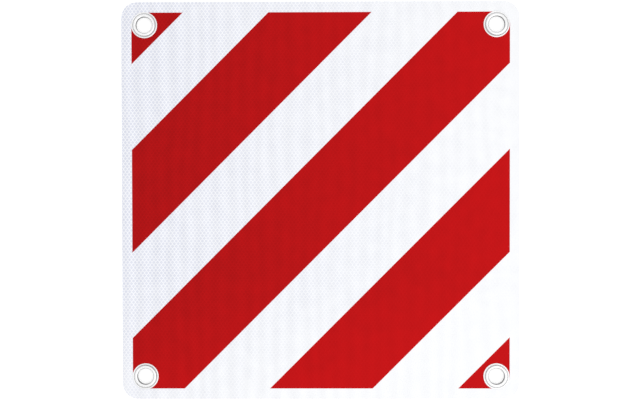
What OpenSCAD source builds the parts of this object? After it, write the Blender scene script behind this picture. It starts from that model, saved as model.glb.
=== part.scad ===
// Overhanging load warning plate: a square plastic board faced with honeycomb reflective sheet, printed
// with red diagonal stripes, with a metal eyelet set in each corner. It lies on its back, printed face
// up, on the four eyelet flanges. +X runs to the right of the print and +Y to its top edge.

/* [Board] */
// Side of the square board
board_side = 500; // [440:5:600]
// Thickness of the plastic board
board_t = 1.5; // [1:0.1:4]
// Radius of the board's corners, seen from the front
corner_r = 20; // [12:0.5:30]

/* [Reflective sheet] */
// Thickness of the honeycomb sheet bonded to the board's front
sheet_t = 0.5; // [0.3:0.05:1]

/* [Stripes] */
// White border to the left and right of the printed area
side_border = 12.5; // [8:0.1:20]
// White border above and below the printed area
end_border = 13.3; // [8:0.1:20]
// How far the print sits to the right of the board's middle
print_right = 0.3; // [-2:0.1:2]
// How far the print sits above the board's middle
print_up = 0.1; // [-2:0.1:2]
// Width of one red stripe, square to its edges
stripe_w = 91.6; // [60:0.1:110]
// Distance between the middles of neighbouring red stripes
stripe_pitch = 167.7; // [130:0.1:200]
// Depth of the red colour in the sheet
print_t = 0.1; // [0.05:0.01:0.2]

/* [Eyelets] */
// Distance from each eyelet's middle to the two nearest edges
eyelet_inset = 29; // [25:0.5:40]
// Clear hole through an eyelet
bore_d = 20; // [18:0.5:20.5]
// Thickness of the eyelet's metal
eyelet_metal = 0.5; // [0.4:0.05:0.7]
// Outer diameter of the eyelet's flange, and of the washer that is sold with it
rim_d = 33; // [32:0.5:38]
// Height of the flange below the back of the board
flange_h = 1.6; // [1.2:0.1:2.2]
// Outer radius of the barrel's lip, curled over the washer
curl_r = 2; // [1.6:0.05:2.1]

/* [Washers] */
// Thickness of the washer's metal
washer_metal = 0.5; // [0.4:0.05:0.7]
// Width of the groove between the curled lip and the washer's bead
groove_w = 0.3; // [0.2:0.05:0.5]

/* [Fits] */
// Gap all round between an eyelet's barrel and the punched hole
hole_gap = 0.15; // [0.05:0.05:0.4]
// Gap all round between an eyelet's barrel and its washer
washer_gap = 0.1; // [0.05:0.05:0.3]

/* [Hidden] */
CORNERS = [["top_left", -1, 1], ["top_right", 1, 1], ["bottom_left", -1, -1], ["bottom_right", 1, -1]];
$fn = 96;

// Heights, from the surface that the flanges stand on
board_z = flange_h;
sheet_z = board_z + board_t;
face_z = sheet_z + sheet_t;

// Printed area, with corners round the eyelets' middles so that they end under the washers
print_w = board_side - 2 * side_border;
print_h = board_side - 2 * end_border;
print_corner_r = eyelet_inset - side_border;

// Length of a stripe, and the stripes that reach the printed area, counted each way from the middle one
stripe_length = norm([print_w, print_h]);
stripe_reach = ceil(stripe_length / 2 / stripe_pitch);

// Place and radii of an eyelet and its washer
eyelet_place = board_side / 2 - eyelet_inset;
bore_r = bore_d / 2;
barrel_r = bore_r + eyelet_metal;
hole_r = barrel_r + hole_gap;
washer_hole_r = barrel_r + washer_gap;
lip_r = bore_r + 2 * curl_r;
rim_r = rim_d / 2;
bead_r = (rim_r - lip_r - groove_w) / 2;

// Outline of the board and the sheet, with the four punched holes
module plate_outline() {
    difference() {
        rounded_rectangle(board_side, board_side, corner_r);
        punched_holes();
    }
}

module rounded_rectangle(width, height, radius) {
    square([width, height - 2 * radius], center = true);
    square([width - 2 * radius, height], center = true);
    middle = [width, height] / 2 - [radius, radius];
    for (x = [-1, 1], y = [-1, 1]) translate([x * middle[0], y * middle[1]]) circle(radius);
}

module punched_holes() {
    for (corner = CORNERS) translate(eyelet_place * [corner[1], corner[2]]) circle(hole_r);
}

// Red fields: diagonal bands rising to the right, cut to the printed area
module stripe_outline() {
    difference() {
        translate([print_right, print_up]) intersection() {
            rounded_rectangle(print_w, print_h, print_corner_r);
            rotate(45) for (i = [-stripe_reach:stripe_reach]) {
                translate([0, i * stripe_pitch]) square([stripe_length, stripe_w], center = true);
            }
        }
        punched_holes();
    }
}

// The red fields from the bottom of the print upwards
module red_layer(height) {
    translate([0, 0, face_z - print_t]) linear_extrude(height) stripe_outline();
}

// Trough in section: a flat with a round edge at each side, below the line y = 0
module trough(inner_x, outer_x, depth) {
    intersection() {
        translate([inner_x, -depth]) square([outer_x - inner_x, depth]);
        union() {
            translate([inner_x + depth, -depth]) square([outer_x - inner_x - 2 * depth, depth]);
            for (x = [inner_x + depth, outer_x - depth]) translate([x, 0]) circle(depth);
        }
    }
}

// Half ring of sheet metal in section, standing on the line y = 0
module half_ring(radius, metal) {
    intersection() {
        difference() {
            circle(radius);
            circle(radius - metal);
        }
        translate([-radius, 0]) square([2 * radius, radius]);
    }
}

// Section of the flange, whose outer edge bears on the back of the board
module flange_section() {
    difference() {
        trough(bore_r, rim_r, flange_h);
        trough(barrel_r, rim_r - eyelet_metal, flange_h - eyelet_metal);
    }
}

// Section of the barrel up to its lip, which is curled outwards and down onto the washer
module barrel_section() {
    lip_y = board_t + sheet_t + washer_metal;
    translate([bore_r, 0]) square([eyelet_metal, lip_y]);
    translate([bore_r + curl_r, lip_y]) half_ring(curl_r, eyelet_metal);
}

// Section of the washer: a flat under the lip and a hollow bead round it
module washer_section() {
    bead_x = rim_r - bead_r;
    flat_end = bead_x - bead_r + washer_metal / 2;
    translate([washer_hole_r, 0]) square([flat_end - washer_hole_r, washer_metal]);
    translate([bead_x, 0]) half_ring(bead_r, washer_metal);
}

module at_corner(corner, height) {
    translate([corner[1] * eyelet_place, corner[2] * eyelet_place, height]) children();
}

module board() {
    color("whitesmoke") translate([0, 0, board_z]) linear_extrude(board_t) plate_outline();
}

module reflective_sheet() {
    color("lavender") difference() {
        translate([0, 0, sheet_z]) linear_extrude(sheet_t) plate_outline();
        red_layer(print_t + sheet_t);
    }
}

module red_stripes() {
    color("firebrick") red_layer(print_t);
}

module eyelet(corner) {
    color("silver") at_corner(corner, board_z) rotate_extrude() {
        flange_section();
        barrel_section();
    }
}

module washer(corner) {
    color("gainsboro") at_corner(corner, face_z) rotate_extrude() washer_section();
}

board();
reflective_sheet();
red_stripes();
for (corner = CORNERS) {
    eyelet(corner);
    washer(corner);
}
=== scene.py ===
"""Looks of the overhanging load warning plate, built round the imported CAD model."""

import math

import bmesh
import bpy
import numpy as np
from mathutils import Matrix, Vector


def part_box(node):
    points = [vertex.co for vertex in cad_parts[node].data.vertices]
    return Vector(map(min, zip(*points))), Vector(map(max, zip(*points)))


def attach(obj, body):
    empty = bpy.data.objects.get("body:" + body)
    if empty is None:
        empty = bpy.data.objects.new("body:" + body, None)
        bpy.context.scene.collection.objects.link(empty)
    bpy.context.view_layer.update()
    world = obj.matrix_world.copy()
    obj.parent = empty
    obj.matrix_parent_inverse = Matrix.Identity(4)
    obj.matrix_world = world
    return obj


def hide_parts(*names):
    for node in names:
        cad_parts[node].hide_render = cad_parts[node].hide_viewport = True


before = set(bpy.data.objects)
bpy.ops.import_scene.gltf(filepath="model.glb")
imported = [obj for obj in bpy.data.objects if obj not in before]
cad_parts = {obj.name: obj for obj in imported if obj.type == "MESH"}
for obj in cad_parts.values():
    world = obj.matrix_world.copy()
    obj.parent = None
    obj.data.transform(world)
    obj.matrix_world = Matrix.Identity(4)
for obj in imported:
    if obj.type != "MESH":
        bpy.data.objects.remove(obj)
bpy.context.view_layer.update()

BODY = "root"
CORNERS = ("top_left", "top_right", "bottom_left", "bottom_right")

# Camera: almost straight above the plate, with the top of the print at the top of the picture
CAMERA_PLACE = (0.0117, 0.0213, 1.3)
CAMERA_TURN_DEG = (-0.893, 0.539, -0.105)
CAMERA_LENS_MM = 58.0

# Studio: brightness by the height of a direction, which is 0 at the horizon and 1 straight up
SWEEP = 1.0
SWEEP_EDGE = (0.26, 0.32)
WALLS = 0.85
CEILING_EDGE = (0.40, 0.60)
CEILING = 0.98

# Soft lamp, high up past the plate's lower right corner
LAMP_PLACE = (0.72, -0.53, 0.82)
LAMP_SIZE = 1.8
LAMP_POWER = 3.0

# Floor: colour of its paper, glow that the camera sees on it, half its side, and fields along a side
FLOOR_COLOUR = (0.75, 0.75, 0.75)
FLOOR_LIFT = 0.5
FLOOR_HALF = 6.0
FLOOR_FIELDS = 8

# Plate and print seen from above, and the straight steps of their round edges
PLATE_CORNER_R = 0.020
PRINT_CORNER_R = 0.0165
HOLE_R = 0.01065
STRIPE_W = 0.0916
STRIPE_PITCH = 0.1677
STRIPES_EACH_WAY = 2
ARC_STEPS = 24
HOLE_STEPS = 128

# Honeycomb of the reflective sheet: rows of cells with upright left and right sides
CELL_SIDES = 6
CELL_PITCH = 0.00472
ROW_PITCH = 0.003355
SLANT_DEG = 45
SEAM_HALF = 0.00040
SEAM_DEPTH = 0.00007
RIM_DEPTH = 0.00002
CELL_REACH = 0.258

# Meshes: decimals of a joined place, how far a tool reaches past its cut, and the angle of a sharp edge
JOIN_DIGITS = 7
TOOL_MARGIN = 0.001
SHARP_DEG = 25

# Colours of the sheet's cells and seams: first where its honeycomb is strong, then where it is faint,
# which is mostly lighter and paints light onto the sheet to the right and near its foot
FILM_CELLS = ((0.73, 0.75, 0.84), (0.92, 0.928, 0.95))
FILM_SEAMS = ((0.95, 0.957, 0.985), (0.926, 0.934, 0.955))
PRINT_CELLS = ((0.385, 0.006, 0.007), (0.53, 0.0062, 0.0075))
PRINT_SEAMS = ((0.445, 0.007, 0.008), (0.545, 0.0072, 0.0085))

# Gloss of the sheet
CELL_ROUGHNESS = 0.35
SEAM_ROUGHNESS = 0.40
ROUGHNESS_SPREAD = 0.05
FILM_SPECULAR = 0.03
PRINT_SPECULAR = 0.02

# Tone of the sheet: as painted light, its honeycomb fades and the sheet turns lighter across the plate to
# the right and near its foot, and it has upright bands that weaken to the right
FADING_REACH = 0.25
FOOT_EDGE = (0.10, 0.23)
FOOT_SHARE = 0.5
FADING_DRIFT = 0.10
PLAIN_TONE = 0.98
DRIFT_STRENGTH = 0.010
GRAIN_STRENGTH = 0.04
BAND_PITCH = 4 * CELL_PITCH
BAND_STRETCH = 0.35
BAND_WANDER = 5
BAND_STRENGTHS = (0.028, 0.008)

# Plastic of the board
BOARD_COLOURS = ((0.80, 0.80, 0.80), (0.86, 0.86, 0.855))
BOARD_ROUGHNESS = (0.36, 0.50)
BOARD_SPECULAR = 0.4

# Nickel of the metal: colours and roughness over its haze, and the painted shade on its steep sides, which
# are darker, less metallic and rougher
NICKEL_COLOURS = ((0.93, 0.93, 0.935), (0.98, 0.98, 0.985))
NICKEL_ROUGHNESS = (0.11, 0.19)
PAINTED_SHADE_METALLIC = 0.4
PAINTED_SHADE_BLUR = 0.25
EYELET_PAINTED_SHADE = (0.12, 0.12, 0.125)
WASHER_PAINTED_SHADE = (0.60, 0.60, 0.61)

# Upward share of the normal, 0 on a wall and 1 on a flat, between which the painted shade on steep sides
# gives way to bright nickel
EYELET_TURN = (0.40, 0.80)
WASHER_TURN = (0.05, 0.30)

# Textures: values that a noise seldom leaves, and the length of one band of a wave texture at scale 1
NOISE_RANGE = (0.3, 0.7)
WAVE_LENGTH = math.pi / 10

# Sockets of a Mix node that mixes colours
MIX_FIRST = 6
MIX_SECOND = 7
MIX_RESULT = 2


# Shapes seen from above, as arrays of points running anticlockwise


def rounded_rectangle(low, high, radius):
    """The rectangle between two corners on either side of the origin, with its own corners rounded."""
    points = []
    corners = ((high[0], high[1], 0), (low[0], high[1], 90), (low[0], low[1], 180), (high[0], low[1], 270))
    for x, y, start in corners:
        middle_x = x - math.copysign(radius, x)
        middle_y = y - math.copysign(radius, y)
        for angle in np.radians(np.linspace(start, start + 90, ARC_STEPS)):
            points.append((middle_x + radius * math.cos(angle), middle_y + radius * math.sin(angle)))
    return np.array(points)


def circle(middle, radius, steps):
    """A circle as a polygon of so many steps."""
    angle = np.linspace(0, 2 * math.pi, steps, endpoint=False)
    return np.stack([middle[0] + radius * np.cos(angle), middle[1] + radius * np.sin(angle)], 1)


def clipped(points, direction, limit):
    """The part of a convex shape whose reach along direction stays below limit."""
    reach = points @ np.array(direction) - limit
    kept = []
    for k, point in enumerate(points):
        before = k - 1
        if reach[k] * reach[before] < 0:
            share = reach[before] / (reach[before] - reach[k])
            kept.append(points[before] + share * (point - points[before]))
        if reach[k] <= 0:
            kept.append(point)
    return np.array(kept)


def stripe_fields(low, high):
    """The five red fields: bands rising to the right, cut to the printed area."""
    area = rounded_rectangle(low, high, PRINT_CORNER_R)
    across = np.array((-1, 1)) / math.sqrt(2)
    middle = area.mean(0) @ across
    fields = []
    for k in range(-STRIPES_EACH_WAY, STRIPES_EACH_WAY + 1):
        line = middle + k * STRIPE_PITCH
        band = clipped(area, across, line + STRIPE_W / 2)
        fields.append(clipped(band, -across, -(line - STRIPE_W / 2)))
    return fields


def inset(points, distance):
    """A convex shape with every side moved inwards."""
    moved = []
    for k, point in enumerate(points):
        sides = [points[k] - points[k - 1], points[(k + 1) % len(points)] - point]
        normals = [np.array((-side[1], side[0])) / np.hypot(*side) for side in sides]
        inwards = normals[0] + normals[1]
        moved.append(point + inwards * 2 * distance / (inwards @ inwards))
    return np.array(moved)


def cell_outline():
    """A cell round the origin, with upright sides and a pointed top and foot."""
    tip = CELL_PITCH / 2 * math.tan(math.radians(SLANT_DEG))
    upright = ROW_PITCH - tip
    across = np.array((1, 0, -1, -1, 0, 1)) * CELL_PITCH / 2
    along = np.array((1, 1, 1, -1, -1, -1)) * upright / 2 + np.array((0, 1, 0, 0, -1, 0)) * tip
    return np.stack([across, along], 1)


def cell_middles():
    """Middles of cells past every edge of the plate, with each second row moved by half a cell."""
    rows = math.ceil(CELL_REACH / ROW_PITCH)
    columns = math.ceil(CELL_REACH / CELL_PITCH)
    row, column = np.mgrid[-rows : rows + 1, -columns : columns + 1]
    return np.stack([(column + 0.5 * (row % 2)) * CELL_PITCH, row * ROW_PITCH], 2).reshape(-1, 1, 2)


# Meshes


def link(name, data):
    """A new object in the scene, for a mesh, a camera or a lamp."""
    thing = bpy.data.objects.new(name, data)
    bpy.context.scene.collection.objects.link(thing)
    return thing


def wear(piece, material):
    """Makes this the piece's only material."""
    piece.data.materials.clear()
    piece.data.materials.append(material)


def prisms(name, outlines, low, high):
    """Closed prisms that stand on the outlines."""
    work = bmesh.new()
    for outline in outlines:
        lower, upper = ([work.verts.new((x, y, z)) for x, y in outline] for z in (low, high))
        work.faces.new(lower[::-1])
        work.faces.new(upper)
        for k in range(len(outline)):
            work.faces.new((lower[k - 1], lower[k], upper[k], upper[k - 1]))
    mesh = bpy.data.meshes.new(name)
    work.to_mesh(mesh)
    work.free()
    return link(name, mesh)


def honeycomb_slab(name, low, top, cell_look, seam_look):
    """A closed slab under raised cells, with a sunken seam round each."""
    middles = cell_middles()
    outline = cell_outline()
    rings = (
        (outline, top - SEAM_DEPTH),
        (inset(outline, SEAM_HALF), top - RIM_DEPTH),
        (np.zeros((1, 2)), top),
    )
    raised = [np.insert(middles + ring, 2, height, axis=2) for ring, height in rings]
    points = np.concatenate(raised, 1).reshape(-1, 3)
    places, index = np.unique(np.round(points, JOIN_DIGITS), axis=0, return_inverse=True)
    outer, inner, peak = np.split(index.reshape(len(middles), -1).T, (CELL_SIDES, 2 * CELL_SIDES))
    sides = [(k, (k + 1) % CELL_SIDES) for k in range(CELL_SIDES)]
    seams = np.concatenate([np.stack([outer[a], outer[b], inner[b], inner[a]], 1) for a, b in sides])
    cells = np.concatenate([np.stack([inner[a], inner[b], peak[0]], 1) for a, b in sides])
    mesh = bpy.data.meshes.new(name)
    mesh.from_pydata(places.tolist(), [], cells.tolist() + seams.tolist())
    mesh.materials.append(cell_look)
    mesh.materials.append(seam_look)
    looks = np.repeat((0, 1), (len(cells), len(seams)))
    mesh.polygons.foreach_set("material_index", looks.astype(np.int32))
    close_below(mesh, low)
    return link(name, mesh)


def close_below(mesh, low):
    """Takes the rim of an open surface straight down and closes it there."""
    work = bmesh.new()
    work.from_mesh(mesh)
    rim = [edge for edge in work.edges if edge.is_boundary]
    made = bmesh.ops.extrude_edge_only(work, edges=rim)["geom"]
    for vertex in made:
        if isinstance(vertex, bmesh.types.BMVert):
            vertex.co.z = low
    bmesh.ops.holes_fill(work, edges=[edge for edge in work.edges if edge.is_boundary], sides=0)
    bmesh.ops.recalc_face_normals(work, faces=work.faces)
    work.to_mesh(mesh)
    work.free()


def cut(piece, operation, outlines, low, high):
    """Carries out one boolean on the piece, with prisms that stand on the outlines."""
    tool = prisms("tool", outlines, low, high)
    step = piece.modifiers.new("cut", "BOOLEAN")
    step.operation = operation
    step.object = tool
    step.solver = "MANIFOLD"
    scene_now = bpy.context.evaluated_depsgraph_get()
    done = bpy.data.meshes.new_from_object(piece.evaluated_get(scene_now))
    piece.modifiers.clear()
    piece.data = done
    bpy.data.objects.remove(tool)


def smooth(piece):
    """Smooth shading with sharp edges."""
    piece.data.shade_smooth()
    piece.data.set_sharp_from_angle(angle=math.radians(SHARP_DEG))


# Nodes of the materials


class Nodes:
    """A short way to write a node tree."""

    def __init__(self, tree):
        self.tree = tree
        self.tree.nodes.clear()

    def put(self, node, name, value):
        """Sets a socket to a value, or links another node's result to it."""
        if isinstance(value, bpy.types.NodeSocket):
            self.tree.links.new(value, node.inputs[name])
        else:
            node.inputs[name].default_value = value

    def add(self, kind, values=None, **settings):
        """A node with its settings, and with numbers or other nodes' results in its sockets."""
        node = self.tree.nodes.new(kind)
        for name, value in settings.items():
            setattr(node, name, value)
        for name, value in (values or {}).items():
            self.put(node, name, value)
        return node

    def place(self, scale=(1, 1, 1)):
        """The place on the piece in metres, each direction times its scale."""
        place = self.add("ShaderNodeTexCoord").outputs["Object"]
        return self.add("ShaderNodeMapping", {"Vector": place, "Scale": scale}).outputs["Vector"]

    def height_of(self, vector):
        """How far a direction points up."""
        return self.add("ShaderNodeSeparateXYZ", {0: vector}).outputs["Z"]

    def noise(self, per_metre, detail=2.0, scale=(1, 1, 1)):
        values = {"Vector": self.place(scale), "Scale": per_metre, "Detail": detail}
        return self.add("ShaderNodeTexNoise", values).outputs["Fac"]

    def bands(self, pitch, stretch, wander):
        """Upright bands from 0 to 1, which wander to the sides and back."""
        values = {
            "Vector": self.place((1, stretch, 1)),
            "Scale": WAVE_LENGTH / pitch,
            "Distortion": wander,
            "Detail": 1.0,
            "Detail Scale": 0.9,
        }
        return self.add("ShaderNodeTexWave", values).outputs["Fac"]

    def along(self, direction):
        """How far a place lies in a direction, in metres."""
        values = {0: self.place(), 1: direction}
        return self.add("ShaderNodeVectorMath", values, operation="DOT_PRODUCT").outputs["Value"]

    def work_out(self, operation, *values):
        """The result of one calculation."""
        return self.add("ShaderNodeMath", dict(enumerate(values)), operation=operation).outputs[0]

    def times(self, value, factor):
        return self.work_out("MULTIPLY", value, factor)

    def sum(self, *values):
        total = values[0]
        for value in values[1:]:
            total = self.work_out("ADD", total, value)
        return total

    def ramp(self, value, low, high, to_low=0.0, to_high=1.0):
        """A value taken from one range to another, and held at its ends."""
        values = {"Value": value, "From Min": low, "From Max": high, "To Min": to_low, "To Max": to_high}
        return self.add("ShaderNodeMapRange", values).outputs["Result"]

    def spread(self, noise, to_low=0.0, to_high=1.0):
        """A noise stretched out so that it reaches both ends of a range."""
        return self.ramp(noise, *NOISE_RANGE, to_low, to_high)

    def mix(self, share, first, second):
        """The first colour at a share of 0 and the second at 1."""
        values = {"Factor": share}
        for socket, colour in ((MIX_FIRST, first), (MIX_SECOND, second)):
            values[socket] = colour if isinstance(colour, bpy.types.NodeSocket) else (*colour, 1)
        return self.add("ShaderNodeMix", values, data_type="RGBA").outputs[MIX_RESULT]

    def toned(self, colour, tone):
        """A colour times a tone."""
        return self.add("ShaderNodeVectorMath", {0: colour, "Scale": tone}, operation="SCALE").outputs[0]

    def bump(self, height, distance, after=None):
        """Relief of so many metres, on top of another relief if one is given."""
        values = {"Height": height, "Distance": distance}
        if after is not None:
            values["Normal"] = after
        return self.add("ShaderNodeBump", values).outputs["Normal"]

    def end(self, kind, values, output="ShaderNodeOutputMaterial"):
        """The last shader, linked to the output."""
        shader = self.add(kind, values)
        self.tree.links.new(shader.outputs[0], self.add(output).inputs["Surface"])


def new_material(name):
    material = bpy.data.materials.new(name)
    material.use_nodes = True
    return material, Nodes(material.node_tree)


def film_material(name, colours, roughness, specular):
    """Clear cover film over glass beads, whose two colours are for a strong and a faint honeycomb; the
    lighter faint one towards the right and the foot is painted light.
    """
    material, n = new_material(name)
    drift = n.spread(n.noise(per_metre=60, detail=3), -1, 1)
    grain = n.spread(n.noise(per_metre=3500, detail=2))
    bands = n.ramp(n.bands(BAND_PITCH, BAND_STRETCH, BAND_WANDER), 0, 1, -1, 1)
    # Painted light: across and foot carry the sheet to its lighter faint honeycomb to the right and near
    # its foot, and weaken its bands to the right
    across = n.ramp(n.along((1, 0, 0)), -FADING_REACH, FADING_REACH)
    foot = n.ramp(n.along((0, -1, 0)), *FOOT_EDGE, 0, FOOT_SHARE)
    band_tone = n.times(bands, n.ramp(across, 0, 1, *BAND_STRENGTHS))
    tone = n.sum(PLAIN_TONE, n.times(drift, DRIFT_STRENGTH), band_tone, n.times(grain, GRAIN_STRENGTH))
    colour = n.mix(n.sum(across, foot, n.times(drift, FADING_DRIFT)), *colours)
    waves = n.bump(n.noise(per_metre=14, detail=1), distance=0.0004)
    n.end(
        "ShaderNodeBsdfPrincipled",
        {
            "Base Color": n.toned(colour, tone),
            "Roughness": n.ramp(grain, 0, 1, roughness - ROUGHNESS_SPREAD, roughness + ROUGHNESS_SPREAD),
            "Specular IOR Level": specular,
            "Normal": n.bump(grain, distance=0.000004, after=waves),
        },
    )
    return material


def board_material():
    """White plastic sheet with the faint lines of its rolling."""
    material, n = new_material("board_plastic")
    lines = n.noise(per_metre=1, detail=4, scale=(700, 25, 25))
    mottle = n.spread(n.noise(per_metre=45, detail=3))
    n.end(
        "ShaderNodeBsdfPrincipled",
        {
            "Base Color": n.mix(mottle, *BOARD_COLOURS),
            "Roughness": n.spread(lines, *BOARD_ROUGHNESS),
            "Specular IOR Level": BOARD_SPECULAR,
            "Normal": n.bump(lines, distance=0.00003),
        },
    )
    return material


def nickel_material(name, painted_shade, turn):
    """Bright nickel plate with a slight haze and fine scratches, with painted shade on its steep sides:
    darker, less metallic and rougher there.
    """
    material, n = new_material(name)
    haze = n.spread(n.noise(per_metre=600, detail=3))
    scratches = n.noise(per_metre=1, detail=3, scale=(400, 5000, 2500))
    facing = n.height_of(n.add("ShaderNodeNewGeometry").outputs["Normal"])
    # Painted shade: where level is 0, on steep sides, the metal takes the given dark colour and is less
    # metallic and rougher
    level = n.ramp(n.work_out("ABSOLUTE", facing), *turn)
    n.end(
        "ShaderNodeBsdfPrincipled",
        {
            "Base Color": n.mix(level, painted_shade, n.mix(haze, *NICKEL_COLOURS)),
            "Metallic": n.ramp(level, 0, 1, PAINTED_SHADE_METALLIC, 1),
            "Roughness": n.sum(n.ramp(haze, 0, 1, *NICKEL_ROUGHNESS), n.ramp(level, 0, 1, PAINTED_SHADE_BLUR, 0)),
            "Normal": n.bump(scratches, distance=0.000008),
        },
    )
    return material


def floor_material():
    """White paper. The camera and the metal see it lifted to white, and the plate's shadow stays on it."""
    material, n = new_material("floor_paper")
    seen = n.add("ShaderNodeLightPath").outputs
    either = n.work_out("MAXIMUM", seen["Is Camera Ray"], seen["Is Glossy Ray"])
    lifted = n.work_out("MAXIMUM", either, seen["Is Transmission Ray"])
    paper = n.add("ShaderNodeBsdfDiffuse", {"Color": (*FLOOR_COLOUR, 1)})
    glow = n.add("ShaderNodeEmission", {"Strength": n.times(lifted, FLOOR_LIFT)})
    n.end("ShaderNodeAddShader", {0: paper.outputs[0], 1: glow.outputs[0]})
    return material


# Pieces


def dress_metal():
    """Nickel for the eyelets and washers, with painted shade on their steep sides."""
    eyelet_look = nickel_material("eyelet_nickel", EYELET_PAINTED_SHADE, EYELET_TURN)
    washer_look = nickel_material("washer_nickel", WASHER_PAINTED_SHADE, WASHER_TURN)
    for corner in CORNERS:
        wear(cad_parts["eyelet_" + corner], eyelet_look)
        wear(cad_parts["washer_" + corner], washer_look)


def punched_holes():
    """Outlines of the holes round the eyelets' middles."""
    outlines = []
    for corner in CORNERS:
        low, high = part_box("eyelet_" + corner)
        outlines.append(circle((low + high) / 2, HOLE_R, HOLE_STEPS))
    return outlines


def add_white_film():
    """The reflective sheet, with a pocket for the red print."""
    low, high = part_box("reflective_sheet")
    print_low, print_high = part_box("red_stripes")
    cells = film_material("film_cells", FILM_CELLS, CELL_ROUGHNESS, FILM_SPECULAR)
    seams = film_material("film_seams", FILM_SEAMS, SEAM_ROUGHNESS, FILM_SPECULAR)
    film = honeycomb_slab("white_film", low.z, high.z, cells, seams)
    plate = rounded_rectangle(low, high, PLATE_CORNER_R)
    below = low.z - TOOL_MARGIN
    above = high.z + TOOL_MARGIN
    cut(film, "INTERSECT", [plate], below, above)
    cut(film, "DIFFERENCE", stripe_fields(print_low, print_high), print_low.z, above)
    cut(film, "DIFFERENCE", punched_holes(), below, above)
    put_in_place_of("reflective_sheet", film)


def add_red_film():
    """The red print, as deep as its pocket."""
    low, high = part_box("red_stripes")
    cells = film_material("print_cells", PRINT_CELLS, CELL_ROUGHNESS, PRINT_SPECULAR)
    seams = film_material("print_seams", PRINT_SEAMS, SEAM_ROUGHNESS, PRINT_SPECULAR)
    film = honeycomb_slab("red_film", low.z, high.z, cells, seams)
    below = low.z - TOOL_MARGIN
    above = high.z + TOOL_MARGIN
    cut(film, "INTERSECT", stripe_fields(low, high), below, above)
    cut(film, "DIFFERENCE", punched_holes(), below, above)
    put_in_place_of("red_stripes", film)


def put_in_place_of(node, piece):
    """Hands the finished piece to the frame instead of a CAD node."""
    smooth(piece)
    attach(piece, BODY)
    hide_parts(node)


# Scene


def add_camera():
    """A camera that looks straight down, but for small turns."""
    camera = link("camera", bpy.data.cameras.new("camera"))
    camera.location = CAMERA_PLACE
    camera.rotation_euler = [math.radians(angle) for angle in CAMERA_TURN_DEG]
    camera.data.lens = CAMERA_LENS_MM
    bpy.context.scene.camera = camera


def add_floor():
    """A wide floor at the height that the plate stands on."""
    work = bmesh.new()
    bmesh.ops.create_grid(work, x_segments=FLOOR_FIELDS, y_segments=FLOOR_FIELDS, size=FLOOR_HALF)
    mesh = bpy.data.meshes.new("floor")
    work.to_mesh(mesh)
    work.free()
    floor = link("floor", mesh)
    wear(floor, floor_material())


def add_lamp():
    """A square soft lamp that faces the plate's middle."""
    lamp = link("soft_lamp", bpy.data.lights.new("soft_lamp", "AREA"))
    lamp.data.shape = "SQUARE"
    lamp.data.size = LAMP_SIZE
    lamp.data.energy = LAMP_POWER
    lamp.location = LAMP_PLACE
    lamp.rotation_euler = (-lamp.location).to_track_quat("-Z", "Y").to_euler()


def add_world():
    """A studio that is white near the horizon, has darker walls above that, and a bright soft ceiling."""
    world = bpy.data.worlds.new("studio")
    world.use_nodes = True
    n = Nodes(world.node_tree)
    height = n.height_of(n.add("ShaderNodeTexCoord").outputs["Generated"])
    sweep = n.ramp(height, *SWEEP_EDGE, SWEEP, WALLS)
    ceiling = n.ramp(height, *CEILING_EDGE, WALLS, CEILING)
    light = {"Color": (1, 1, 1, 1), "Strength": n.work_out("MAXIMUM", sweep, ceiling)}
    n.end("ShaderNodeBackground", light, output="ShaderNodeOutputWorld")
    bpy.context.scene.world = world


wear(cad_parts["board"], board_material())
dress_metal()
add_white_film()
add_red_film()
add_camera()
add_floor()
add_world()
add_lamp()
bpy.context.scene.view_settings.view_transform = "Standard"
